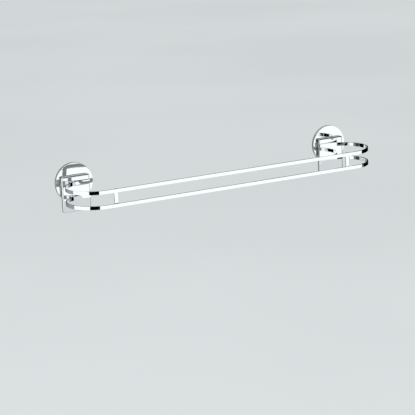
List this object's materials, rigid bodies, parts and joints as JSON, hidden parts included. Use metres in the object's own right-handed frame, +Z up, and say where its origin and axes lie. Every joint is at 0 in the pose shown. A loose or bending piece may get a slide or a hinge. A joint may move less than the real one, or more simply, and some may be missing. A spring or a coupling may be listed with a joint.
{
  "type": "double towel rail",
  "caption": "Wall-mounted double towel rail: parallel chrome strip loops with rounded ends, carried by holder plates that hook onto round suction discs.",
  "frame": {"origin": "on the wall plane, halfway between the axes of the two suction mounts", "axes": "+X along the rail to the right as seen from the room, +Y into the wall, +Z up"},
  "size_m": [0.516, 0.1002, 0.0735],
  "materials": {
    "loop_chrome": "bright mirror chrome on flat steel strip",
    "link_chrome": "bright mirror chrome",
    "tray_chrome": "bright mirror chrome on pressed sheet",
    "disc_chrome": "bright mirror chrome on a spun disc",
    "plate_steel": "brushed stainless sheet",
    "screw_steel": "zinc-plated screw steel",
    "stud_steel": "turned steel",
    "nut_steel": "turned steel with a knurled head",
    "washer_nylon": "natural nylon",
    "shell_plastic": "fine moulded texture",
    "cup_rubber": "soft translucent grey rubber"
  },
  "bodies": {
    "root": {"left_pressure_shell": "shell_plastic", "left_slip_washer": "washer_nylon", "left_suction_cup": "cup_rubber", "right_pressure_shell": "shell_plastic", "right_slip_washer": "washer_nylon", "right_suction_cup": "cup_rubber"},
    "rail": {"upper_loop": "loop_chrome", "lower_loop": "loop_chrome", "left_link": "link_chrome", "left_holder_tray": "tray_chrome", "left_hook_plate": "plate_steel", "left_plate_screw_left": "screw_steel", "left_plate_screw_right": "screw_steel", "right_link": "link_chrome", "right_holder_tray": "tray_chrome", "right_hook_plate": "plate_steel", "right_plate_screw_left": "screw_steel", "right_plate_screw_right": "screw_steel"},
    "left_hub_body": {"left_cover_disc": "disc_chrome", "left_hub_nut": "nut_steel"},
    "left_stud_body": {"left_stud": "stud_steel"},
    "right_hub_body": {"right_cover_disc": "disc_chrome", "right_hub_nut": "nut_steel"},
    "right_stud_body": {"right_stud": "stud_steel"}
  },
  "joints": [
    {"name": "rail_lift", "type": "slide", "parent": "root", "child": "rail", "axis": [0, 0, 1], "range_m": [0, 0.014]},
    {"name": "left_hub_turn", "type": "hinge", "parent": "root", "child": "left_hub_body", "pos_m": [-0.225, -0.0055, 0], "axis": [0, -1, 0], "range_deg": [0, 270]},
    {"name": "left_stud_pull", "type": "slide", "parent": "root", "child": "left_stud_body", "axis": [0, 1, 0], "range_m": [0, 0.0015], "deforming": ["left_suction_cup"]},
    {"name": "right_hub_turn", "type": "hinge", "parent": "root", "child": "right_hub_body", "pos_m": [0.225, -0.0055, 0], "axis": [0, -1, 0], "range_deg": [0, 270]},
    {"name": "right_stud_pull", "type": "slide", "parent": "root", "child": "right_stud_body", "axis": [0, 1, 0], "range_m": [0, 0.0015], "deforming": ["right_suction_cup"]}
  ],
  "couplings": [
    {"joint": "left_stud_pull", "follows": "left_hub_turn", "m_per_rad": 0.0003183},
    {"joint": "right_stud_pull", "follows": "right_hub_turn", "m_per_rad": 0.0003183}
  ]
}
